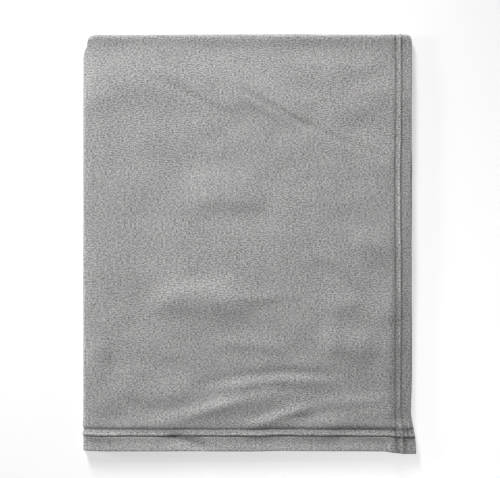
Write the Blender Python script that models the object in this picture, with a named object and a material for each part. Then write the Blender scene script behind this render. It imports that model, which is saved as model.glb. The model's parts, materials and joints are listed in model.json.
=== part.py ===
"""Folded throw blanket: a sheet of sweatshirt fleece with a double-stitched hem on all four sides,
folded in half across its width and then in half across its length, lying flat.

The first fold (the side fold, along Y at -X) makes a half of two plies. The second fold (the top fold,
along X at +Y) lays the upper half on the lower half. The cloth is one piece; here it is parted at its
fold lines and hems, because each solid is rigid. A half is drawn once, in its own space: X across,
Y along, Z from the floor to HALF_THICK. The upper half is that half mirrored in the plane at MID_Z,
and the roll of the top fold is its section turned about the line (ROLL_Y, MID_Z). The upper half opens
about the crest of that roll.

Units are metres, +Z up. The origin is on the floor, under the middle of the folded blanket.
"""

import math

import bmesh
import bpy
from mathutils import Matrix

MM = 0.001

# Driving dimensions.
FOLDED_WIDTH = 600 * MM  # X: side fold to side hem
FOLDED_LENGTH = 760 * MM  # Y: end hem to top fold
PLY = 2.1 * MM  # the fleece, uncompressed
HEM_AIR = 1.2 * MM  # between the two turned hems inside one half
SIDE_HEM = 32 * MM  # depth of the hem turned on the long edges
END_HEM = 42 * MM  # depth of the hem turned on the short edges
ROW_TO_RAW_EDGE = 2.5 * MM  # inner needle row to the raw edge it covers
NEEDLE_GAUGE = 11 * MM  # between the two needle rows
THREAD = 0.45 * MM  # diameter of a laid thread
THREAD_COVER = 0.05 * MM  # how far a needle thread lies below the face of the cloth
LABEL_WIDTH = 40 * MM
LABEL_LENGTH = 60 * MM
LABEL_THICK = 0.3 * MM
LABEL_SEWN = 10 * MM  # length of label held on the hem
LABEL_X = 170 * MM  # middle of the label
GAP = 0.3 * MM  # clearance between pieces that touch

# Heights in a half.
HEM_THICK = 2 * PLY + GAP
HALF_THICK = 2 * HEM_THICK + HEM_AIR
MID_Z = HALF_THICK + GAP / 2

# Places across X and along Y.
SIDE_EDGE = FOLDED_WIDTH / 2
END_EDGE = FOLDED_LENGTH / 2
HEM_RADIUS = HEM_THICK / 2
SIDE_ROLL_RADIUS = HALF_THICK / 2
SIDE_ROLL_X = -SIDE_EDGE + SIDE_ROLL_RADIUS
ROLL_Y = END_EDGE - MID_Z
PANEL_START_X = SIDE_ROLL_X + GAP
PANEL_END_X = SIDE_EDGE - HEM_RADIUS - GAP
PANEL_START_Y = -END_EDGE + HEM_RADIUS + GAP
PANEL_END_Y = ROLL_Y - GAP

# Needle threads lie in grooves, clear of their walls. The side hem is sewn last, so its threads cross
# over the end hem's.
GROOVE_HALF_WIDTH = THREAD / 2 + GAP
SIDE_NEEDLE_Z = THREAD_COVER + THREAD / 2
SIDE_GROOVE_DEPTH = SIDE_NEEDLE_Z + THREAD / 2 + GAP
END_NEEDLE_Z = SIDE_GROOVE_DEPTH + THREAD / 2
END_GROOVE_DEPTH = END_NEEDLE_Z + THREAD / 2 + GAP
LOOPER_Z = PLY + GAP + THREAD / 2

# The side hem's looper thread starts beyond the end hem's.
END_LOOPER_CLEAR = END_HEM - HEM_RADIUS + GAP + THREAD

ROLL_STEPS = 12
HEM_STEPS = 8
THREAD_SIDES = 6
SHARP_ANGLE = math.radians(40)

FLEECE = ("heather_fleece", (0.33, 0.325, 0.317, 1.0), 0.95)
COTTON = ("grey_thread", (0.27, 0.27, 0.265, 1.0), 0.7)
SATIN = ("label_satin", (0.85, 0.85, 0.84, 1.0), 0.45)


def needle_rows(depth):
    """Distances of the outer and the inner needle row from the edge of a hem of this depth."""
    inner = depth - ROW_TO_RAW_EDGE
    return {"outer": inner - NEEDLE_GAUGE, "inner": inner}


SIDE_ROWS_X = {row: SIDE_EDGE - distance for row, distance in needle_rows(SIDE_HEM).items()}
END_ROWS_Y = {row: distance - END_EDGE for row, distance in needle_rows(END_HEM).items()}


def material(finish):
    """The Principled material of this name, made the first time it is asked for."""
    name, colour, roughness = finish
    found = bpy.data.materials.get(name)
    if found:
        return found
    made = bpy.data.materials.new(name)
    made.use_nodes = True
    shader = made.node_tree.nodes["Principled BSDF"]
    shader.inputs["Base Color"].default_value = colour
    shader.inputs["Roughness"].default_value = roughness
    shader.inputs["Metallic"].default_value = 0.0
    return made


def add_loft(bm, rings):
    """Adds one closed body that passes through rings of points, with a cap on the first and the last."""
    loops = [[bm.verts.new(point) for point in ring] for ring in rings]
    for near, far in zip(loops, loops[1:]):
        for i in range(len(near)):
            j = (i + 1) % len(near)
            bm.faces.new((near[i], near[j], far[j], far[i]))
    bm.faces.new(loops[0][::-1])
    bm.faces.new(loops[-1])


def mesh_of(name, lofts, finish):
    """A mesh with one closed body for each list of rings."""
    bm = bmesh.new()
    for rings in lofts:
        add_loft(bm, rings)
    bmesh.ops.recalc_face_normals(bm, faces=bm.faces[:])
    mesh = bpy.data.meshes.new(name)
    bm.to_mesh(mesh)
    bm.free()
    mesh.shade_smooth()
    mesh.set_sharp_from_angle(angle=SHARP_ANGLE)
    mesh.materials.append(material(finish))
    return mesh


def linked(name, data):
    """An object in the scene with this data, or an empty if there is none."""
    made = bpy.data.objects.new(name, data)
    bpy.context.scene.collection.objects.link(made)
    return made


def solid(name, rings, finish, carrier):
    """A piece of the blanket: a body through the rings, parented to the empty that carries it."""
    made = linked(name, mesh_of(name, [rings], finish))
    made.parent = carrier
    made.matrix_parent_inverse = Matrix.Translation(-carrier.location)
    return made


def empty(name, place):
    """The empty that a body turns about."""
    made = linked(name, None)
    made.location = place
    return made


def cutter(name, lofts):
    """A hidden object that Boolean modifiers cut with, with one body for each list of rings."""
    made = linked(name, mesh_of(name, lofts, FLEECE))
    made.hide_render = True
    made.display_type = "WIRE"
    return made


def cut(target, tool):
    """Takes the tool away from the target."""
    modifier = target.modifiers.new(tool.name, "BOOLEAN")
    modifier.operation = "DIFFERENCE"
    modifier.solver = "EXACT"
    modifier.object = tool


def lower(x, y, z):
    """A point of the lower half."""
    return x, y, z


def upper(x, y, z):
    """The same point of the upper half."""
    return x, y, 2 * MID_Z - z


def along_y(section, start, end, place):
    """Rings of a section in X and Z, drawn straight along Y."""
    return [[place(x, y, z) for x, z in section] for y in (start, end)]


def over_top_fold(section):
    """Rings of a section in X and Z, turned half round the line of the top fold."""
    rings = []
    for step in range(ROLL_STEPS + 1):
        turn = math.pi * step / ROLL_STEPS
        rings.append(
            [
                (x, ROLL_Y + (MID_Z - z) * math.sin(turn), MID_Z - (MID_Z - z) * math.cos(turn))
                for x, z in section
            ]
        )
    return rings


def round_side_fold(section, end, place):
    """Rings of a section in Y and Z, from x = end on the face-down ply, round the side fold, to x = end
    on the ply above it."""
    stations = [(end, 0.0)]
    stations += [(SIDE_ROLL_X, math.pi * step / ROLL_STEPS) for step in range(ROLL_STEPS + 1)]
    stations += [(end, math.pi)]
    rings = []
    for x, turn in stations:
        ring = []
        for y, z in section:
            arm = SIDE_ROLL_RADIUS - z
            ring.append(place(x - arm * math.sin(turn), y, SIDE_ROLL_RADIUS - arm * math.cos(turn)))
        rings.append(ring)
    return rings


def along_x(section, start, end, place):
    """Rings of a section in Y and Z, drawn straight along X."""
    return [[place(x, y, z) for y, z in section] for x in (start, end)]


def flipped(section):
    """A section of the face-down ply, turned to the ply above it."""
    return [(across, HALF_THICK - z) for across, z in section]


def circle(across, z):
    """Section of a laid thread."""
    turns = [2 * math.pi * (side + 0.5) / THREAD_SIDES for side in range(THREAD_SIDES)]
    return [(across + THREAD / 2 * math.cos(t), z + THREAD / 2 * math.sin(t)) for t in turns]


def rectangle(low, high, bottom, top):
    """Section with these limits across and in height."""
    return [(low, bottom), (high, bottom), (high, top), (low, top)]


def panel_section():
    """The face-down ply across X, with a groove in its face for each needle row of the side hem."""
    points = [(PANEL_START_X, 0.0)]
    for row in sorted(SIDE_ROWS_X.values()):
        left, right = row - GROOVE_HALF_WIDTH, row + GROOVE_HALF_WIDTH
        points += [(left, 0.0), (left, SIDE_GROOVE_DEPTH), (right, SIDE_GROOVE_DEPTH), (right, 0.0)]
    points += [(PANEL_END_X, 0.0), (PANEL_END_X, PLY), (PANEL_START_X, PLY)]
    return points


def side_fold_section():
    """The side fold across X and Z: half a ring of one ply."""
    points = []
    for radius, steps in (
        (SIDE_ROLL_RADIUS, range(ROLL_STEPS + 1)),
        (SIDE_ROLL_RADIUS - PLY, range(ROLL_STEPS, -1, -1)),
    ):
        for step in steps:
            turn = math.pi * step / ROLL_STEPS
            x = SIDE_ROLL_X - radius * math.sin(turn)
            points.append((x, SIDE_ROLL_RADIUS - radius * math.cos(turn)))
    return points


def hem_section(edge, depth, outward):
    """A turned hem: the rounded edge of the cloth and the ply laid back from it. outward is 1 or -1."""
    centre = edge - HEM_RADIUS
    points = []
    for step in range(HEM_STEPS + 1):
        turn = math.pi * (step / HEM_STEPS - 0.5)
        points.append((centre + HEM_RADIUS * math.cos(turn), HEM_RADIUS + HEM_RADIUS * math.sin(turn)))
    raw_edge = edge - depth
    points += [(raw_edge, HEM_THICK), (raw_edge, PLY + GAP), (centre, PLY + GAP)]
    return [(outward * across, z) for across, z in points]


def side_looper_section():
    """The thread that covers the raw edge of a side hem."""
    return circle(SIDE_EDGE - SIDE_HEM - GAP - THREAD / 2, LOOPER_Z)


def end_groove_cutter(name, place):
    """Cuts the grooves of the end hem's needle rows in both plies and in the side fold."""
    lofts = []
    for row in END_ROWS_Y.values():
        section = rectangle(row - GROOVE_HALF_WIDTH, row + GROOVE_HALF_WIDTH, -PLY, END_GROOVE_DEPTH)
        lofts.append(round_side_fold(section, SIDE_EDGE + PLY, place))
    return cutter(name, lofts)


def corner_cutter(name, place):
    """Cuts the laid-back ply of the end hem away where the side hem lies."""
    start = SIDE_EDGE - SIDE_HEM - GAP
    section = rectangle(PANEL_START_Y, END_HEM - END_EDGE + PLY, -PLY, HALF_THICK + PLY)
    return cutter(name, [along_x(section, start, SIDE_EDGE + PLY, place)])


def make_side_hem(prefix, section_of, rings_of, carrier):
    """The hem of one long edge along one ply, with its needle threads and, on its raw edge, its looper
    thread."""
    hem = section_of(hem_section(SIDE_EDGE, SIDE_HEM, 1))
    solid(f"{prefix}_side_hem", rings_of(hem, 0.0), FLEECE, carrier)
    for row, x in SIDE_ROWS_X.items():
        thread = section_of(circle(x, SIDE_NEEDLE_Z))
        solid(f"{prefix}_side_needle_thread_{row}", rings_of(thread, 0.0), COTTON, carrier)
    looper = section_of(side_looper_section())
    solid(f"{prefix}_side_looper_thread", rings_of(looper, END_LOOPER_CLEAR), COTTON, carrier)


def make_end_hem(half, place, carrier):
    """The hem of one short edge, which turns with the side fold, with its threads."""
    rings = round_side_fold(hem_section(END_EDGE, END_HEM, -1), SIDE_EDGE, place)
    hem = solid(f"{half}_end_hem", rings, FLEECE, carrier)
    cut(hem, corner_cutter(f"cut_{half}_corner", place))
    for row, y in END_ROWS_Y.items():
        rings = round_side_fold(circle(y, END_NEEDLE_Z), PANEL_END_X, place)
        solid(f"{half}_end_needle_thread_{row}", rings, COTTON, carrier)
    looper = circle(END_HEM - END_EDGE + GAP + THREAD / 2, LOOPER_Z)
    rings = round_side_fold(looper, SIDE_EDGE - SIDE_HEM - GAP, place)
    solid(f"{half}_end_looper_thread", rings, COTTON, carrier)


def make_half(half, face, place, carrier):
    """One half of the folded blanket: two plies, the side fold between them, and the hems with their
    threads."""

    def straight(section, late_start):
        return along_y(section, PANEL_START_Y + late_start, PANEL_END_Y, place)

    grooves = end_groove_cutter(f"cut_{half}_grooves", place)
    sections = {
        f"{face}_panel": panel_section(),
        f"{half}_inner_panel": flipped(panel_section()),
        f"{half}_side_fold": side_fold_section(),
    }
    for name, section in sections.items():
        cut(solid(name, straight(section, 0.0), FLEECE, carrier), grooves)
    make_end_hem(half, place, carrier)
    make_side_hem(face, list, straight, carrier)
    make_side_hem(f"{half}_inner", flipped, straight, carrier)


def make_top_fold(carrier):
    """The roll that joins the halves: the outer and the inner ply, the side fold, the hems and their
    threads."""

    def turned(section, _late_start):
        return over_top_fold(section)

    for name, section_of in (("outer", list), ("inner", flipped)):
        ply = section_of(panel_section())
        solid(f"{name}_fold_roll", over_top_fold(ply), FLEECE, carrier)
        make_side_hem(f"{name}_roll", section_of, turned, carrier)
    solid("corner_fold_roll", over_top_fold(side_fold_section()), FLEECE, carrier)


def make_care_label(place, carrier):
    """A blank label sewn to the end hem, inside a half."""
    start = END_HEM - END_EDGE - LABEL_SEWN
    bottom = HEM_THICK + GAP
    section = rectangle(start, start + LABEL_LENGTH, bottom, bottom + LABEL_THICK)
    low, high = LABEL_X - LABEL_WIDTH / 2, LABEL_X + LABEL_WIDTH / 2
    solid("care_label", along_x(section, low, high, place), SATIN, carrier)


def main():
    """Builds the blanket in an empty scene."""
    for found in list(bpy.data.objects):
        bpy.data.objects.remove(found)
    lower_half = empty("body_lower_half", (0.0, 0.0, 0.0))
    upper_half = empty("body_upper_half", (0.0, END_EDGE, MID_Z))
    make_half("lower", "bottom", lower, lower_half)
    make_half("upper", "top", upper, upper_half)
    make_top_fold(lower_half)
    make_care_label(upper, upper_half)


main()
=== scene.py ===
"""The folded throw as one sheet of heather fleece, with its stitches and its label, on a white sweep.

The cloth is drawn flat and then folded by the same steps as the real one: the hems are turned, the side
fold is laid over, the top fold is laid over, and the pile settles. Every piece is drawn in cloth space and
sent through those steps by place():

    s  distance from the side fold line along the cloth; positive on the bottom and the top ply
    t  distance from the top fold line along the cloth; positive on the upper half
    z  height from the face of the cloth towards its wrong side

All sizes are in metres, and those of the throw come from the frame.
"""

import json
import math

import bpy
import numpy as np
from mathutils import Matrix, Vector

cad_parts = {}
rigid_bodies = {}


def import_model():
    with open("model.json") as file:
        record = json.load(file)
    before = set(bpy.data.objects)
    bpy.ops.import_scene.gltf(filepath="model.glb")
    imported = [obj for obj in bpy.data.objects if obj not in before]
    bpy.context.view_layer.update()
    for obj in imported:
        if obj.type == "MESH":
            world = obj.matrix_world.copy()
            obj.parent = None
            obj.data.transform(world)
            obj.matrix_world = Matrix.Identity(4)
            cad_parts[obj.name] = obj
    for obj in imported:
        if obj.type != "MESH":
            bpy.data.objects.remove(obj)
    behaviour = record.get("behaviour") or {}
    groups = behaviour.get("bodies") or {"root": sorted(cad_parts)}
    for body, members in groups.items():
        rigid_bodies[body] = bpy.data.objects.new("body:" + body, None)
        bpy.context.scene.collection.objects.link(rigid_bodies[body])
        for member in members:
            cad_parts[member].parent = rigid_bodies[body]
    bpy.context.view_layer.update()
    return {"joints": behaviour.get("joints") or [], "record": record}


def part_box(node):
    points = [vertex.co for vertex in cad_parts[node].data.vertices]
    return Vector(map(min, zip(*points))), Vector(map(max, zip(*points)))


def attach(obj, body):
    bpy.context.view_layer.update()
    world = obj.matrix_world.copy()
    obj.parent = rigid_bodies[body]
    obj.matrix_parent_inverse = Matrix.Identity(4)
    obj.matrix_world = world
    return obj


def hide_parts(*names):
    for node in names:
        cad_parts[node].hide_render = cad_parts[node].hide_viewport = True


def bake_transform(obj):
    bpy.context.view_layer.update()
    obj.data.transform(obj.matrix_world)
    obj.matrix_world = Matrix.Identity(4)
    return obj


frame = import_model()

MM = 0.001
SEED = 11

# ---------------------------------------------------------------------------------------------------------
# Sizes read from the frame
# ---------------------------------------------------------------------------------------------------------


def edge_of(node, axis, high):
    """Where a CAD node ends along an axis (0, 1, 2), on its high or its low side."""
    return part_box(node)[1 if high else 0][axis]


def middle_of(node, axis):
    """The middle of a CAD node along an axis."""
    return (edge_of(node, axis, True) + edge_of(node, axis, False)) / 2


LEFT = edge_of("lower_side_fold", 0, False)
RIGHT = edge_of("bottom_side_hem", 0, True)
FRONT = edge_of("lower_end_hem", 1, False)
BACK = edge_of("outer_fold_roll", 1, True)
TOP = edge_of("outer_fold_roll", 2, True)
MID = TOP / 2
HALF = edge_of("lower_side_fold", 2, True)
PLY = edge_of("bottom_panel", 2, True)
SIDE_HEM = RIGHT - edge_of("bottom_side_hem", 0, False)
END_HEM = edge_of("lower_end_hem", 1, True) - FRONT
SIDE_ROWS = [RIGHT - middle_of(f"bottom_side_needle_thread_{row}", 0) for row in ("outer", "inner")]
END_ROWS = [middle_of(f"lower_end_needle_thread_{row}", 1) - FRONT for row in ("outer", "inner")]
LOWER, UPPER = frame["joints"][0]["parent"], frame["joints"][0]["child"]

SIDE_RADIUS = HALF / 2
SIDE_ARC = math.pi * (SIDE_RADIUS - PLY / 2)
TOP_RADIUS = MID - PLY / 2
TOP_ARC = math.pi * TOP_RADIUS
SEAM_AIR = 0.2 * MM  # between the plies of a hem
PARTING = 0.4 * MM  # between each half and the plane at MID

# Finished edges in cloth space.
SIDE_EDGE = RIGHT - (LEFT + SIDE_RADIUS) + SIDE_ARC / 2
END_EDGE = (BACK - MID) - FRONT + TOP_ARC / 2

# ---------------------------------------------------------------------------------------------------------
# Small functions for shapes
# ---------------------------------------------------------------------------------------------------------


def ease(value, start, end):
    """0 before start, 1 after end, and a smooth step between them."""
    share = np.clip((value - start) / (end - start), 0, 1)
    return share * share * (3 - 2 * share)


def bell(distance, width):
    """1 at no distance, falling smoothly to 1/e at the width."""
    return np.exp(-((distance / width) ** 2))


def wander(along, wavelength, seed):
    """Smooth random values from -1 to 1 along a line."""
    count = 512
    knots = np.random.default_rng(SEED + seed).uniform(-1, 1, count)
    steps = along / wavelength + count / 2
    cell = np.floor(steps).astype(int)
    share = steps - cell
    share = share * share * (3 - 2 * share)
    return knots[cell % count] * (1 - share) + knots[(cell + 1) % count] * share


def mottle(x, y, wavelength, seed):
    """Smooth random values from -1 to 1 over a plane."""
    count = 256
    knots = np.random.default_rng(SEED + seed).uniform(-1, 1, (count, count))
    middle_u, middle_v = 128.3, 128.7  # near the middle of the knots
    u, v = x / wavelength + middle_u, y / wavelength + middle_v
    i, j = np.floor(u).astype(int), np.floor(v).astype(int)
    a, b = u - i, v - j
    a, b = a * a * (3 - 2 * a), b * b * (3 - 2 * b)
    i, j, next_i, next_j = i % count, j % count, (i + 1) % count, (j + 1) % count
    low = knots[i, j] * (1 - a) + knots[next_i, j] * a
    high = knots[i, next_j] * (1 - a) + knots[next_i, next_j] * a
    return low * (1 - b) + high * b


def crease(x, y, path, above, below, height):
    """A ridge along a path that runs from left to right, with its own width above (+Y) and below it.

    With a negative height it is a furrow. It fades at the ends of the path.
    """
    path_x, path_y = zip(*path)
    reach = 12 * MM  # the path's corners are smoothed over this distance
    before, here, after = (np.interp(x + step, path_x, path_y) for step in (-reach, 0, reach))
    lean = (after - before) / (2 * reach)
    across = (y - (before + here + after) / 3) / np.sqrt(1 + lean**2)
    first, last = path_x[0], path_x[-1]
    fade = 0.22 * (last - first)
    ends = ease(x, first - fade, first + fade) * (1 - ease(x, last - fade, last + fade))
    return height * ends * bell(across, np.where(across > 0, above, below))


# ---------------------------------------------------------------------------------------------------------
# The relief of the top ply
# ---------------------------------------------------------------------------------------------------------

# Creases of the top ply, as (height, width above, width below, path); a furrow has a negative height.
# Places are on the folded throw; all in millimetres.
CREASES = [
    # Below the top fold.
    (4.2, 45, 44, [(-340, 302), (-160, 298), (-40, 282), (20, 268)]),
    (5.0, 50, 17, [(-20, 276), (50, 250), (105, 226)]),
    (-2.2, 5, 4, [(-165, 298), (-110, 272), (-50, 240), (-30, 232)]),
    (-3.0, 5, 5, [(-10, 276), (30, 255), (90, 224), (110, 214)]),
    (-1.8, 5, 4, [(80, 228), (160, 190), (268, 148)]),
    (1.8, 30, 20, [(165, 234), (200, 244), (245, 264)]),
    (2.0, 18, 20, [(150, 322), (190, 318), (240, 322)]),
    (2.0, 16, 26, [(-320, 265), (-240, 262)]),
    # Across the middle.
    (3.8, 34, 20, [(-100, 78), (-40, 80), (20, 72)]),
    (-1.2, 3.5, 3.5, [(-10, 64), (40, 50)]),
    (7.0, 30, 30, [(-170, -106), (-80, -102), (0, -98)]),
    (1.8, 12, 7, [(-20, -100), (60, -102)]),
    (-3.6, 9, 11, [(130, -40), (170, -62), (205, -92)]),
    (3.6, 15, 24, [(150, -105), (200, -112)]),
    (3.4, 20, 20, [(200, 0), (260, -5)]),
    # Above the end hem.
    (2.2, 14, 8, [(-50, -184), (0, -188), (60, -194)]),
    (7.6, 36, 24, [(140, -184), (190, -190), (230, -192)]),
    (-3.8, 7, 7, [(-70, -256), (0, -241), (70, -235), (150, -240)]),
    (3.2, 8, 14, [(-40, -262), (60, -250), (140, -252)]),
    (3.0, 34, 18, [(-230, -268), (-150, -280), (-90, -285)]),
    (4.2, 10, 20, [(-150, -322), (-100, -310), (-60, -298), (0, -284), (50, -276)]),
    (2.4, 4, 6, [(-110, -318), (-60, -301), (-20, -292)]),
    (5.0, 4, 12, [(5, -330), (50, -316), (105, -300)]),
    (2.2, 12, 10, [(110, -300), (180, -292), (260, -284)]),
    (3.0, 12, 16, [(130, -322), (200, -316), (262, -310)]),
    (2.8, 22, 44, [(-300, -192), (-255, -196)]),
]

# Creases of the end hem itself, in the same form.
HEM_CREASES = [
    (-5.2, 8, 8, [(-140, -353), (-110, -362), (-75, -376)]),
    (3.4, 12, 12, [(90, -346), (150, -350)]),
    (2.4, 8, 7, [(0, -350), (40, -352)]),
    (2.2, 8, 9, [(190, -350), (250, -352)]),
    (2.8, 8, 10, [(-300, -350), (-240, -352)]),
    (4.0, 12, 22, [(268, -338), (306, -342)]),
]
SINK = 4.6 * MM  # the most that the top ply can sink; it stays about 1 mm above the ply under it


def all_creases(x, y, creases):
    """The sum of a list of creases, in metres."""
    rise = np.zeros(np.broadcast(x, y).shape)
    for height, above, below, path in creases:
        points = [(u * MM, v * MM) for u, v in path]
        rise = rise + crease(x, y, points, above * MM, below * MM, height * MM)
    return rise


def relief(x, y):
    """How far the top ply stands above its level as drawn, in metres; negative where it has sunk."""
    inside = np.minimum.reduce([x - LEFT, RIGHT - x, BACK - y, y - FRONT])
    rise = all_creases(x, y, CREASES)
    lengthening = 1.6  # the small waves are this much longer along X
    rise = rise + 1.2 * MM * mottle(x / lengthening, y, 34 * MM, 1)
    rise = rise + 0.5 * MM * mottle(x / lengthening, y, 14 * MM, 2)
    rise = rise * ease(inside, 2 * MM, 26 * MM)
    rise = rise + all_creases(x, y, HEM_CREASES) * ease(inside, -4 * MM, 8 * MM)

    # The ply sags between its edges, and dips in front of the top fold.
    sag = 3.0 * MM * ease(inside, 6 * MM, 150 * MM)
    from_dip = BACK - 25 * MM - y
    dip = 3.6 * MM * bell(from_dip, np.where(from_dip < 0, 14 * MM, 55 * MM))

    # At the right it swells before the side hem and drops over it, more towards the front.
    to_front = ease(-y, 20 * MM, 170 * MM)
    right_rise = 3.0 * MM * bell(x - (RIGHT - 52 * MM), 16 * MM)
    right_rise = right_rise * to_front * ease(y - FRONT, 20 * MM, 70 * MM)
    right_drop = 5.6 * MM * ease(x, RIGHT - 44 * MM, RIGHT + 4 * MM) * (0.3 + 0.7 * to_front)

    # It rolls down at the left edge and curls up at the front one.
    left_drop = 1.4 * MM * (1 - ease(x, LEFT - 4 * MM, LEFT + 14 * MM))
    front_curl = 3.8 * MM * (1 - ease(y, FRONT - 2 * MM, FRONT + 20 * MM))

    # The height left over the ply below runs out softly.
    room = rise - sag - dip + right_rise - right_drop - left_drop + front_curl + SINK
    softness = 1.2 * MM
    return (room + np.sqrt(room**2 + softness**2)) / 2 - SINK


# ---------------------------------------------------------------------------------------------------------
# From cloth space to the folded throw
# ---------------------------------------------------------------------------------------------------------


def turn_hem(u, z, edge, thick):
    """Turns the cloth that lies beyond an edge back onto its wrong side."""
    centre = thick + SEAM_AIR / 2
    start = edge - centre
    mean = centre - thick / 2
    turn = np.clip((u - start) / mean, 0, math.pi)
    over = np.maximum(u - start - math.pi * mean, 0)
    arm = centre - z
    bent = u > start
    return (
        np.where(bent, start + arm * np.sin(turn) - over, u),
        np.where(bent, centre - arm * np.cos(turn), z),
    )


def mirrored(u, edge):
    """Where a point beyond an edge comes to lie once the hem is turned, near enough."""
    return edge - np.abs(u - edge)


def row_pinch(distance, rows):
    """How hard the needle rows pull the hem together at a distance from its edge."""
    deep = 35 * MM  # only the inner row of the end hem lies deeper; its dent is wider
    return sum(bell(distance - row, 1.5 * MM if row < deep else 2.2 * MM) for row in rows)


def pucker(distance, along, rows, seed):
    """Small waves across a hem, strongest between its needle rows."""
    reach = bell(distance - sum(rows) / len(rows), 15 * MM)
    waves = 0.6 * wander(along, 7 * MM, seed) + wander(along, 19 * MM, seed + 1)
    return 0.28 * MM * reach * waves


def hem_swell(distance, along, rows, height, seed):
    """How far the face of the top ply stands up by a hem.

    There is a narrow lip before the outer needle row, and the cloth swells to a height before the inner one.
    """
    outer, inner = rows
    lip = 2.0 * MM * bell(distance - (outer + 2.7 * MM), 1.9 * MM)
    lip = lip * (0.8 + 0.35 * wander(along, 35 * MM, seed + 1))
    swell = height * bell(distance - (inner + 9 * MM), 7 * MM)
    return lip + swell * (0.75 + 0.7 * wander(along, 55 * MM, seed))


def rounding(distance, radius):
    """How far a corner with this radius lies back, at a distance from the edge beside it."""
    return radius * (1 - np.sqrt(1 - np.clip(1 - distance / radius, 0, 1) ** 2))


def place(s, t, z):
    """Where points of cloth space lie on the folded throw."""
    s, t, z = np.broadcast_arrays(*(np.asarray(value, float) for value in (s, t, z)))
    side, end = np.abs(s), np.abs(t)
    ply_side, half_side = np.sign(s), np.sign(t)

    # The hems, with their plies pressed, and most where they lie four deep.
    soft = 2 * MM
    side_start, end_start = SIDE_EDGE - SIDE_HEM, END_EDGE - END_HEM
    in_side = ease(mirrored(side, SIDE_EDGE), side_start - soft, side_start + soft)
    in_end = ease(mirrored(end, END_EDGE), end_start - soft, end_start + soft)
    press = 1 - 0.08 * np.maximum(in_side, in_end) - 0.40 * in_side * in_end
    ply = PLY * press
    z = z * press
    end, z = turn_hem(end, z, END_EDGE, ply)
    stack = ply * (1 + in_end) + SEAM_AIR * in_end
    side, z = turn_hem(side, z, SIDE_EDGE, stack)
    stack = stack * (1 + in_side)

    # The needle rows.
    from_side, from_end = SIDE_EDGE - side, END_EDGE - end
    pinch = np.clip(row_pinch(from_side, SIDE_ROWS) + row_pinch(from_end, END_ROWS), 0, 1.2)
    z = z + 0.6 * pinch * (stack / 2 - z)
    on_top = (half_side > 0) & (ply_side > 0)
    waves = pucker(from_side, t, SIDE_ROWS, 20) + pucker(from_end, s, END_ROWS, 30)
    side_swell = (0.6 + 1.8 * ease(t, 380 * MM, 520 * MM)) * MM
    swell = hem_swell(from_side, t, SIDE_ROWS, side_swell, 40)
    swell = swell + hem_swell(from_end, s, END_ROWS, 2.2 * MM, 42)
    z = z + np.where(on_top, waves - swell, np.abs(waves))

    # In the plane of the cloth, the top ply's outer end row lies a little nearer its edge, and the edges
    # wander a little, each ply by itself.
    end = end + np.where(on_top, 1.8 * MM, 0) * bell(from_end - END_ROWS[0], 5 * MM)
    along_side, along_end = half_side * end, ply_side * side
    side_wander = 1.3 * MM * wander(along_side, 150 * MM, 3) + 0.5 * MM * wander(along_side, 40 * MM, 4)
    end_wander = 1.2 * MM * wander(along_end, 140 * MM, 5) + 0.5 * MM * wander(along_end, 45 * MM, 6)
    reach_side, reach_end = (side / SIDE_EDGE) ** 2, (end / END_EDGE) ** 2

    # The corner at the right of the front edge flares, most on the top ply.
    corner = ease(side, SIDE_EDGE - 45 * MM, SIDE_EDGE) * ease(end, END_EDGE - 75 * MM, END_EDGE - 15 * MM)
    side = side + reach_side * side_wander + np.where(on_top, 8.5 * MM, 2 * MM) * corner
    corner = ease(side, SIDE_EDGE - 55 * MM, SIDE_EDGE - 10 * MM) * ease(end, END_EDGE - 60 * MM, END_EDGE)
    end = end + reach_end * end_wander + np.where(on_top, 5.5 * MM, 1 * MM) * corner

    # The side fold.
    fold_x = LEFT + SIDE_RADIUS + 0.6 * MM * wander(half_side * end, 90 * MM, 7)
    flat_x = fold_x + ply_side * side - SIDE_ARC / 2
    before = np.clip((fold_x - flat_x) / SIDE_ARC, 0, 1)
    over = np.maximum(fold_x - flat_x - SIDE_ARC, 0)
    arm = SIDE_RADIUS - z
    x = np.where(flat_x < fold_x, fold_x - arm * np.sin(math.pi * before) + over, flat_x)
    z = np.where(flat_x < fold_x, SIDE_RADIUS - arm * np.cos(math.pi * before), z)

    # The top fold, with rounded corners; at the left one the side fold is also drawn in.
    from_left, from_right = x - LEFT, RIGHT - x
    round_left, round_right = 15 * MM, 10 * MM
    beyond = np.maximum(end - TOP_ARC / 2, 0)
    x = x + 7 * MM * (1 - ease(beyond, -2 * MM, 18 * MM)) * (1 - ease(from_left, 0, 90 * MM))
    corners = rounding(from_left, round_left) + rounding(from_right, round_right)
    corners = corners * (1 - ease(beyond, 0, 90 * MM))
    fold_y = BACK - MID - corners + (1.0 + 0.7 * wander(x, 80 * MM, 8)) * MM
    level = z - PARTING * ease(z, HALF - 2 * PLY, HALF)
    turn = np.clip((half_side * end + TOP_ARC / 2) / TOP_ARC, 0, 1) * math.pi
    arm = MID - level
    square = 0.75  # the fold is pressed a little square
    y = fold_y + arm * np.sin(turn) ** square - beyond
    z = MID - arm * np.sign(np.cos(turn)) * np.abs(np.cos(turn)) ** square

    # The pile settles: the top ply sinks and keeps its folds, the ply under it stays.
    loose = ease(z - MID, PLY, HALF - PLY)
    z = z + loose * relief(x, y)
    return np.stack([x, y, z], axis=-1)


# ---------------------------------------------------------------------------------------------------------
# The cloth
# ---------------------------------------------------------------------------------------------------------


def spread(start, end, step):
    """Evenly spread values from start to end, about step apart."""
    return list(np.linspace(start, end, max(2, int(round((end - start) / step)) + 1)))


def raw_edge(edge, depth):
    """Where the raw edge of a hem lies in cloth space."""
    return edge + depth - 2 * PLY + math.pi * (PLY + SEAM_AIR) / 2


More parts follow.
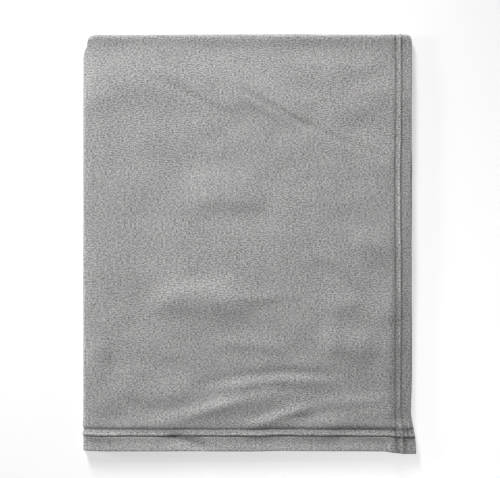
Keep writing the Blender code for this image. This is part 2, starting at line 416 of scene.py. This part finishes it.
def hem_lines(edge, depth, rows, fine):
    """Grid lines from the inside of a hem to the raw edge of its turned ply."""
    lines = spread(edge - 3.5 * MM, edge + 3.5 * MM, 0.9 * MM)
    lines += spread(edge + 8 * MM, raw_edge(edge, depth), 9 * MM if fine else 14 * MM)
    offsets = (-6, -4, -2.6, -1.6, -0.8, 0, 0.8, 1.6, 2.6, 4, 6) if fine else (-3, -1, 0, 1, 3)
    for row in rows:
        lines += [edge - row + offset * MM for offset in offsets]
    lines += spread(edge - min(rows) + 7 * MM, edge - 4.5 * MM, 2.5 * MM if fine else 4 * MM)
    return lines


def thinned(lines, least):
    """The lines in order, without those closer than least to the one before."""
    kept = []
    for line in sorted(lines):
        if not kept or line - kept[-1] >= least:
            kept.append(line)
    return kept


def cloth_lines():
    """The grid lines of the cloth across s and t, fine on the top ply."""
    inner_side = SIDE_EDGE - max(SIDE_ROWS) - 7 * MM
    inner_end = END_EDGE - max(END_ROWS) - 7 * MM
    coarse = 22 * MM
    fold = [SIDE_ARC * (step / 10 - 0.5) for step in range(11)]
    s = thinned(hem_lines(SIDE_EDGE, SIDE_HEM, SIDE_ROWS, True), 0.5 * MM)
    s += fold + spread(SIDE_ARC / 2 + 2 * MM, inner_side, 5.6 * MM)
    s += [-line for line in thinned(hem_lines(SIDE_EDGE, SIDE_HEM, SIDE_ROWS, False), 0.8 * MM)]
    s += [-line for line in spread(SIDE_ARC / 2 + 2 * MM, inner_side, coarse)]
    t = thinned(hem_lines(END_EDGE, END_HEM, END_ROWS, True), 0.5 * MM)
    t += spread(TOP_ARC / 2 + 1.5 * MM, inner_end, 5.6 * MM)
    t += [-line for line in thinned(hem_lines(END_EDGE, END_HEM, END_ROWS, False), 0.8 * MM)]
    t += [-line for line in spread(TOP_ARC / 2 + 1.5 * MM, inner_end, coarse)]
    # No line lies close to the crest, so that the roll parts cleanly there when the throw opens.
    crest_clear, steps = math.radians(10), 7
    for step in range(steps + 1):
        turn = crest_clear + (math.pi / 2 - crest_clear) * step / steps
        t += [turn * TOP_RADIUS, -turn * TOP_RADIUS]
    return np.array(thinned(s, 0.3 * MM)), np.array(thinned(t, 0.3 * MM))


def link(name, mesh):
    """An object in the scene for a mesh."""
    made = bpy.data.objects.new(name, mesh)
    bpy.context.scene.collection.objects.link(made)
    return made


def mesh_from(name, points, faces, cloth_places):
    """A smooth mesh that keeps where each of its points is on the flat cloth."""
    mesh = bpy.data.meshes.new(name)
    mesh.from_pydata(points.reshape(-1, 3).tolist(), [], faces)
    mesh.shade_smooth()
    kept = mesh.attributes.new("flat_cloth", "FLOAT_VECTOR", "POINT")
    kept.data.foreach_set("vector", np.ascontiguousarray(cloth_places, np.float32).reshape(-1))
    return mesh


def slab_faces(number):
    """The faces of a closed slab, from the numbers of its points: rows, columns, and front or back."""
    a, b, c, d = number[:-1, :-1], number[1:, :-1], number[1:, 1:], number[:-1, 1:]
    faces = np.stack([a[..., 0], d[..., 0], c[..., 0], b[..., 0]], -1).reshape(-1, 4).tolist()
    faces += np.stack([a[..., 1], b[..., 1], c[..., 1], d[..., 1]], -1).reshape(-1, 4).tolist()
    rim = list(number[:, 0]) + list(number[-1, 1:]) + list(number[-2::-1, -1]) + list(number[0, -2:0:-1])
    for here, after in zip(rim, rim[1:] + rim[:1]):
        faces.append([here[0], after[0], after[1], here[1]])
    return faces


def needle_row_shade(s, t):
    """How much painted shade darkens the fleece near the needle rows, from 0 to 1, by place on the flat
    cloth.
    """
    from_side = SIDE_EDGE - mirrored(np.abs(s), SIDE_EDGE)
    from_end = END_EDGE - mirrored(np.abs(t), END_EDGE)
    return np.clip(row_pinch(from_side, SIDE_ROWS) + row_pinch(from_end, END_ROWS), 0, 1)


def make_cloth():
    """The whole sheet: a grid on its face, one on its wrong side, and the raw edges between them."""
    s, t, z = np.meshgrid(*cloth_lines(), [0.0, PLY], indexing="ij")
    faces = slab_faces(np.arange(s.size).reshape(s.shape))
    mesh = mesh_from("throw_cloth", place(s, t, z), faces, np.stack([s, t, z], -1))
    # The cloth keeps how near each point lies to a needle row, for the painted shade there.
    press = mesh.attributes.new("needle_row_shade", "FLOAT", "POINT")
    press.data.foreach_set("value", needle_row_shade(s, t).astype(np.float32).reshape(-1))
    return link("throw_cloth", mesh)


# ---------------------------------------------------------------------------------------------------------
# Stitches and label
# ---------------------------------------------------------------------------------------------------------

STITCH_PITCH = 4.3 * MM
STITCH_LENGTH = 2.7 * MM
THREAD_RADIUS = 0.28 * MM
ZIGZAG = 2.2 * MM  # how far the looper thread swings to each side of the raw edge


def thread(name, along_s, length, across, depth):
    """Closed lengths of thread, from points in cloth space: lengths, rings of each, and points of a ring."""
    s, t = (length, across) if along_s else (across, length)
    ring = np.arange(s.size).reshape(s.shape)
    around = np.roll(ring, -1, axis=2)
    faces = np.stack([ring[:, :-1], around[:, :-1], around[:, 1:], ring[:, 1:]], -1).reshape(-1, 4).tolist()
    faces += ring[:, 0, ::-1].tolist() + ring[:, -1].tolist()
    return link(name, mesh_from(name, place(s, t, depth), faces, np.stack([s, t, depth], -1)))


def row_of_stitches(name, along_s, row, start, end):
    """One needle row: a chain of short arched stitches on the face."""
    count = max(1, int(round((end - start) / STITCH_PITCH)))
    centres = start + (np.arange(count) + 0.5) * (end - start) / count
    rings, sides = 5, 6
    along = np.linspace(-1, 1, rings)
    angle = np.arange(sides) * 2 * math.pi / sides
    width = THREAD_RADIUS * np.sqrt(np.clip(1.08 - along**4, 0.08, 1))
    lie = 0.30 * MM * along**2 - 0.10 * MM
    length = centres[:, None, None] + (along * STITCH_LENGTH / 2)[None, :, None] + 0 * angle
    across = row + width[:, None] * np.cos(angle) + 0 * length
    depth = lie[:, None] + width[:, None] * np.sin(angle) + 0 * length
    return thread(name, along_s, length, across, depth)


def looper_row(name, along_s, raw, start, end):
    """The looper thread that zigzags over the raw edge of a turned hem, on the wrong side."""
    count = max(2, int(round((end - start) / STITCH_PITCH)) * 2)
    centres = np.linspace(start, end, count)
    sides = 4
    angle = np.arange(sides) * 2 * math.pi / sides
    swing = raw + ZIGZAG * np.where(np.arange(count) % 2, 1, -1)
    length = centres[:, None] + THREAD_RADIUS * np.sin(angle)
    across = swing[:, None] + 0 * length
    depth = -0.3 * MM + THREAD_RADIUS * np.cos(angle) + 0 * length
    return thread(name, along_s, length[None], across[None], depth[None])


def make_label():
    """The blank care label, a strip that hangs from the end hem between the plies of the upper half."""
    low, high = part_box("care_label")
    across = np.linspace(low[0], high[0], 9)
    along = np.linspace(low[1], high[1], 25)
    x, y, side = np.meshgrid(across, along, [0, 1], indexing="ij")
    curl = 0.25 * MM * np.sin((y - low[1]) / (high[1] - low[1]) * 7) + 0.15 * MM * np.cos(x * 200)
    z = low[2] + side * (high[2] - low[2]) + curl
    points = np.stack([x, y, z], -1)
    faces = slab_faces(np.arange(x.size).reshape(x.shape))
    return link("care_label_strip", mesh_from("care_label_strip", points, faces, points))


# ---------------------------------------------------------------------------------------------------------
# Materials
# ---------------------------------------------------------------------------------------------------------


class Nodes:
    """A material's node tree, with short ways to add what the finishes below share."""

    def __init__(self, name):
        self.material = bpy.data.materials.new(name)
        self.material.use_nodes = True
        self.tree = self.material.node_tree
        self.shader = self.tree.nodes["Principled BSDF"]

    def add(self, kind, **values):
        node = self.tree.nodes.new(kind)
        for name, value in values.items():
            if hasattr(node, name):
                setattr(node, name, value)
            else:
                node.inputs[name].default_value = value
        return node

    def join(self, output, socket):
        self.tree.links.new(output, socket)

    def flat_place(self, stretch):
        """The place on the flat cloth, stretched along s and t."""
        on_cloth = self.add("ShaderNodeAttribute", attribute_name="flat_cloth")
        scaled = self.add("ShaderNodeVectorMath", operation="MULTIPLY")
        scaled.inputs[1].default_value = (*stretch, 1.0)
        self.join(on_cloth.outputs["Vector"], scaled.inputs[0])
        return scaled.outputs[0]

    def noise(self, vector, scale, detail=2.0, roughness=0.5):
        made = self.add("ShaderNodeTexNoise", Scale=scale, Detail=detail, Roughness=roughness)
        self.join(vector, made.inputs["Vector"])
        return made.outputs["Fac"]

    def sum_of(self, parts, middle):
        """middle plus each share times (signal - 0.5)."""
        total = None
        for signal, share in parts:
            made = self.add("ShaderNodeMath", operation="MULTIPLY_ADD")
            self.join(signal, made.inputs[0])
            made.inputs[1].default_value = share
            made.inputs[2].default_value = middle - share / 2 if total is None else -share / 2
            if total is not None:
                join = self.add("ShaderNodeMath", operation="ADD")
                self.join(total, join.inputs[0])
                self.join(made.outputs[0], join.inputs[1])
                total = join.outputs[0]
            else:
                total = made.outputs[0]
        return total

    def ramp(self, signal, stops):
        made = self.add("ShaderNodeValToRGB")
        elements = made.color_ramp.elements
        for index, (position, level) in enumerate(stops):
            element = elements[index] if index < 2 else elements.new(position)
            element.position = position
            element.color = (level[0], level[1], level[2], 1.0)
        self.join(signal, made.inputs[0])
        return made.outputs[0]

    def bump(self, signal, strength, distance):
        made = self.add("ShaderNodeBump", Strength=strength, Distance=distance)
        self.join(signal, made.inputs["Height"])
        self.join(made.outputs[0], self.shader.inputs["Normal"])


def grey(level, warmth=0.0):
    """A grey of this level, made a little warmer by the warmth."""
    return (level * (1 + warmth), level, level * (1 - warmth))


def heather_fleece():
    """Brushed heather jersey: dark and pale fibres spun together, with faint blotches, and painted shade in
    the grooves of the needle rows.
    """
    made = Nodes("heather_fleece")
    fibre = made.noise(made.flat_place((1.0, 2.0)), 620.0, 2.0, 0.6)
    fleck = made.noise(made.flat_place((1.1, 2.3)), 240.0, 3.0, 0.7)
    slub = made.noise(made.flat_place((1.0, 2.2)), 110.0, 2.0, 0.6)
    blotch = made.noise(made.flat_place((1.0, 1.0)), 16.0, 3.0, 0.6)
    tone = made.sum_of([(fibre, 1.6), (fleck, 3.6), (slub, 0.45), (blotch, 0.25)], 0.5)
    colour = made.ramp(tone, [(0.0, grey(0.10, 0.012)), (1.0, grey(0.54, 0.012))])
    # Painted shade: along the needle rows the fleece is darkened down to 0.62 of its colour, where the
    # grooves lie in shade.
    row_shade_amount = made.add("ShaderNodeAttribute", attribute_name="needle_row_shade")
    # A mix node takes its two colours at inputs 6 and 7 and gives the mixed one at output 2.
    darker = made.add("ShaderNodeMix", data_type="RGBA", blend_type="MULTIPLY")
    made.join(row_shade_amount.outputs["Fac"], darker.inputs[0])
    made.join(colour, darker.inputs[6])
    darker.inputs[7].default_value = (0.62, 0.62, 0.62, 1.0)
    made.join(darker.outputs[2], made.shader.inputs["Base Color"])
    made.shader.inputs["Roughness"].default_value = 0.95
    made.shader.inputs["Specular IOR Level"].default_value = 0.15
    made.shader.inputs["Sheen Weight"].default_value = 0.35
    made.shader.inputs["Sheen Roughness"].default_value = 0.55
    pile = made.sum_of([(fibre, 0.6), (fleck, 0.8), (slub, 0.5)], 0.5)
    made.bump(pile, 0.5, 0.5 * MM)
    return made.material


def spun_thread():
    """Twisted grey thread."""
    made = Nodes("spun_thread")
    twist = made.noise(made.flat_place((1.0, 1.0)), 1400.0, 1.0, 0.5)
    made.join(made.ramp(twist, [(0.2, grey(0.26)), (0.8, grey(0.58))]), made.shader.inputs["Base Color"])
    made.shader.inputs["Roughness"].default_value = 0.75
    made.bump(twist, 0.4, 0.1 * MM)
    return made.material


def label_satin():
    """Blank white satin tape."""
    made = Nodes("label_satin")
    weave = made.noise(made.flat_place((1.0, 6.0)), 900.0, 1.0, 0.5)
    made.join(made.ramp(weave, [(0.2, grey(0.72)), (0.8, grey(0.86))]), made.shader.inputs["Base Color"])
    made.shader.inputs["Roughness"].default_value = 0.4
    made.bump(weave, 0.2, 0.05 * MM)
    return made.material


def white_sweep():
    """The white floor, which glows by itself, and more so where the key light fades."""
    made = Nodes("white_sweep")
    made.shader.inputs["Base Color"].default_value = (0.50, 0.50, 0.50, 1.0)
    made.shader.inputs["Emission Color"].default_value = (1.0, 1.0, 1.0, 1.0)
    on_floor = made.add("ShaderNodeTexCoord")
    across = made.add("ShaderNodeVectorMath", operation="DOT_PRODUCT")
    across.inputs[1].default_value = (0.75, -0.66, 0.0)
    made.join(on_floor.outputs["Object"], across.inputs[0])
    glow = made.add("ShaderNodeMapRange", interpolation_type="SMOOTHSTEP")
    made.join(across.outputs["Value"], glow.inputs["Value"])
    glow.inputs["From Min"].default_value = -0.1
    glow.inputs["From Max"].default_value = 0.7
    glow.inputs["To Min"].default_value = 0.53
    glow.inputs["To Max"].default_value = 0.72
    made.join(glow.outputs["Result"], made.shader.inputs["Emission Strength"])
    made.shader.inputs["Roughness"].default_value = 1.0
    made.shader.inputs["Specular IOR Level"].default_value = 0.0
    return made.material


# ---------------------------------------------------------------------------------------------------------
# Putting it together
# ---------------------------------------------------------------------------------------------------------


def part_at_fold(piece):
    """Bakes a piece's place into its mesh; the piece is not attached to either half."""
    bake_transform(piece)


def finish(piece, material, nodes):
    """Gives a piece its material and hides the CAD nodes that it stands for."""
    piece.data.materials.append(material)
    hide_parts(*nodes)


def make_stitches(material):
    """Every needle row and looper row, one object for each CAD thread."""
    roll = TOP_ARC / 2
    side_raw, end_raw = raw_edge(SIDE_EDGE, SIDE_HEM), raw_edge(END_EDGE, END_HEM)
    made = []

    def keep(piece, node, body):
        finish(piece, material, [node])
        if body:
            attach(piece, body)
        else:
            part_at_fold(piece)
        made.append(piece)

    stretches = (
        ("bottom", 1, -END_EDGE, -roll, LOWER),
        ("lower_inner", -1, -END_EDGE, -roll, LOWER),
        ("top", 1, roll, END_EDGE, UPPER),
        ("upper_inner", -1, roll, END_EDGE, UPPER),
        ("outer_roll", 1, -roll, roll, None),
        ("inner_roll", -1, -roll, roll, None),
    )
    for prefix, side, start, end, body in stretches:
        for row, distance in zip(("outer", "inner"), SIDE_ROWS):
            where = side * (SIDE_EDGE - distance)
            piece = row_of_stitches(f"{prefix}_side_stitches_{row}", False, where, start, end)
            keep(piece, f"{prefix}_side_needle_thread_{row}", body)
        piece = looper_row(f"{prefix}_side_looper_zigzag", False, side * side_raw, start, end)
        keep(piece, f"{prefix}_side_looper_thread", body)
    for half, sign, body in (("lower", -1, LOWER), ("upper", 1, UPPER)):
        for row, distance in zip(("outer", "inner"), END_ROWS):
            where = sign * (END_EDGE - distance)
            piece = row_of_stitches(f"{half}_end_stitches_{row}", True, where, -SIDE_EDGE, SIDE_EDGE)
            keep(piece, f"{half}_end_needle_thread_{row}", body)
        reach = SIDE_EDGE - SIDE_HEM
        piece = looper_row(f"{half}_end_looper_zigzag", True, sign * end_raw, -reach, reach)
        keep(piece, f"{half}_end_looper_thread", body)
    return made


def make_throw():
    """The cloth, its stitches and its label."""
    fleece_nodes = [
        part["node"] for part in frame["record"]["subparts"] if part["material_slot"] == "fleece"
    ]
    cloth = make_cloth()
    finish(cloth, heather_fleece(), fleece_nodes)
    part_at_fold(cloth)
    stitches = make_stitches(spun_thread())
    label = make_label()
    finish(label, label_satin(), ["care_label"])
    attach(label, UPPER)


def aim(name, light, hung_at, target):
    """Hangs a light at a place and turns it to a target."""
    made = bpy.data.objects.new(name, light)
    bpy.context.scene.collection.objects.link(made)
    made.location = hung_at
    made.rotation_euler = (Vector(target) - Vector(hung_at)).to_track_quat("-Z", "Y").to_euler()


def key_lights():
    """Three soft spots, one over another, behind the top fold and a little to the left.

    The edge of their pool of light lies near the front right corner, and the cloth darkens towards it.
    """
    target = (-0.365, 0.585, 0.0)
    distance, turn = 4.5, math.radians(-18)
    for number, elevation in enumerate((30, 38, 48)):
        light = bpy.data.lights.new(f"key_{number}", "SPOT")
        rise = math.radians(elevation)
        light.energy = 268.0 / math.sin(rise)
        light.spot_size = 0.36
        light.spot_blend = 0.1
        light.shadow_soft_size = 0.4
        level = distance * math.cos(rise)
        hung_at = (
            target[0] + level * math.sin(turn),
            target[1] + level * math.cos(turn),
            distance * math.sin(rise),
        )
        aim(f"key_{number}", light, hung_at, target)


def fill_light():
    """A soft box low and far off at the left, which draws the folds that run up and down."""
    light = bpy.data.lights.new("fill", "AREA")
    light.size = 0.6
    light.energy = 75.0
    aim("fill", light, (-4.0, 0.6, 1.3), (0.0, 0.0, 0.0))


def surround():
    """Lit walls all round, and a dim ceiling."""
    world = bpy.data.worlds.new("surround")
    bpy.context.scene.world = world
    world.use_nodes = True
    tree = world.node_tree
    direction = tree.nodes.new("ShaderNodeTexCoord")
    height = tree.nodes.new("ShaderNodeSeparateXYZ")
    level = tree.nodes.new("ShaderNodeMapRange")
    level.interpolation_type = "SMOOTHSTEP"
    level.inputs["From Min"].default_value = 0.06
    level.inputs["From Max"].default_value = 0.36
    level.inputs["To Min"].default_value = 1.8
    level.inputs["To Max"].default_value = 0.10
    tree.links.new(direction.outputs["Generated"], height.inputs[0])
    tree.links.new(height.outputs["Z"], level.inputs["Value"])
    tree.links.new(level.outputs["Result"], tree.nodes["Background"].inputs["Strength"])
    tree.nodes["Background"].inputs["Color"].default_value = (1.0, 1.0, 1.0, 1.0)


def make_studio():
    """The white floor, the lights and the surround."""
    mesh = bpy.data.meshes.new("floor")
    reach = 15.0
    corners = [(-reach, -reach, 0), (reach, -reach, 0), (reach, reach, 0), (-reach, reach, 0)]
    mesh.from_pydata(corners, [], [(0, 1, 2, 3)])
    floor = link("floor", mesh)
    mesh.materials.append(white_sweep())
    key_lights()
    fill_light()
    surround()
    bpy.context.scene.view_settings.view_transform = "Standard"


def make_camera():
    """A long lens straight above the throw, with the top fold at the top of the picture."""
    camera = bpy.data.cameras.new("overhead")
    camera.lens = 85
    camera.sensor_width = 36
    view_width = 0.9101  # at the level of the throw's top
    made = bpy.data.objects.new("overhead", camera)
    bpy.context.scene.collection.objects.link(made)
    made.location = (0.0046, 0.0070, TOP + view_width * camera.lens / camera.sensor_width)
    bpy.context.scene.camera = made


make_camera()
make_throw()
make_studio()
